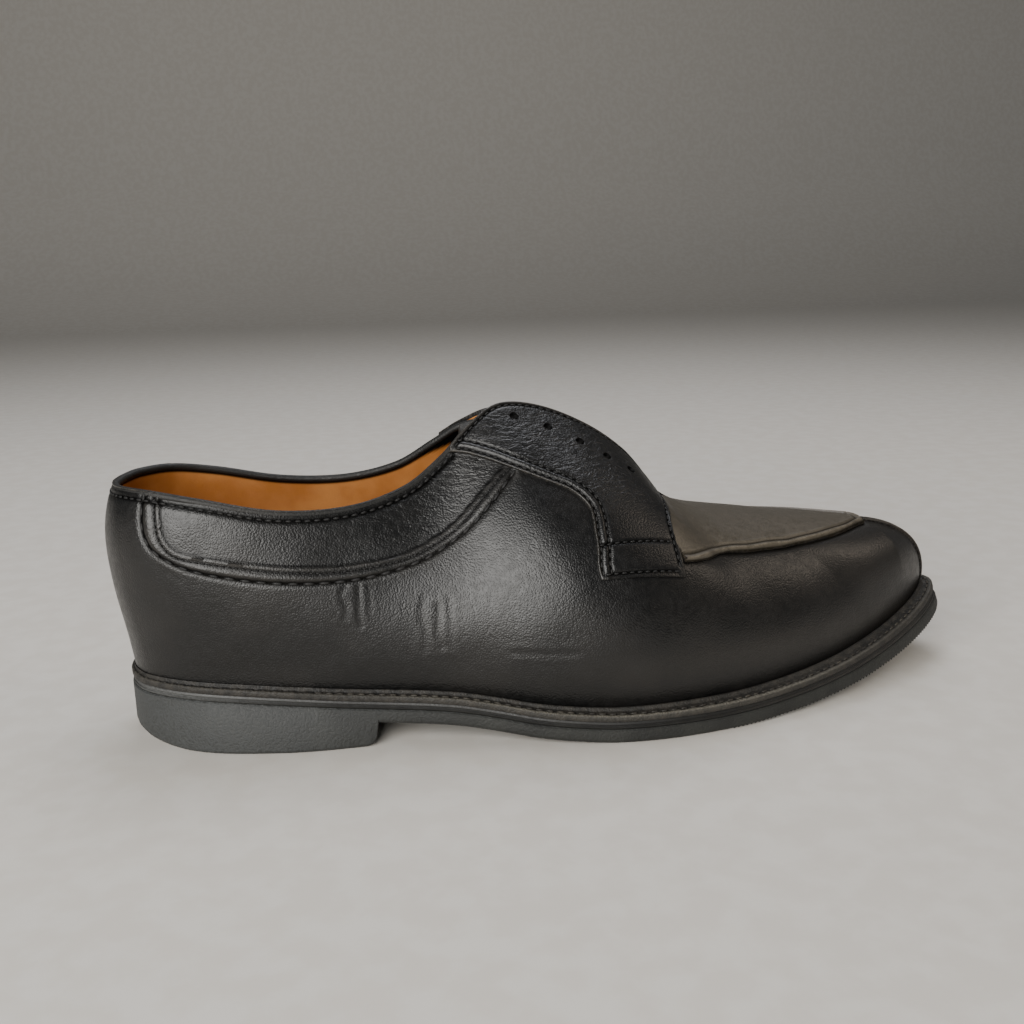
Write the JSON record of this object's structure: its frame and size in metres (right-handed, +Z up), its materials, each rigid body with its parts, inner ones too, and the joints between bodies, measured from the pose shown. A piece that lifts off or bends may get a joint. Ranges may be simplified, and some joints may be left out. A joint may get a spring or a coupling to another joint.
{
  "type": "split toe derby",
  "caption": "Low men's leather derby shoe, right foot, with open lacing, an apron on the vamp, a split toe seam, a stitched welt and a rubber sole with a low heel.",
  "frame": {"origin": "middle of the shoe's footprint box, on the plane it stands on", "axes": "+X from heel to toe, +Y to the medial (inner) side of the right foot, +Z up"},
  "size_m": [0.3078, 0.1084, 0.1082],
  "materials": {
    "sole_rubber": "matt moulded rubber",
    "midsole": "trimmed and inked black edge",
    "welt_leather": "dusty stitched leather",
    "lining_leather": "smooth tan lining leather",
    "upper_leather": "black grained leather, satin",
    "apron_leather": "worn black leather, satin",
    "tongue_leather": "soft black leather"
  },
  "bodies": {
    "root": {"outsole": "sole_rubber", "midsole": "midsole", "welt": "welt_leather", "insole": "lining_leather", "upper": "upper_leather", "apron": "apron_leather", "toe_seam": "apron_leather", "facing_lateral": "upper_leather", "facing_medial": "upper_leather", "tongue": "tongue_leather"}
  },
  "joints": []
}
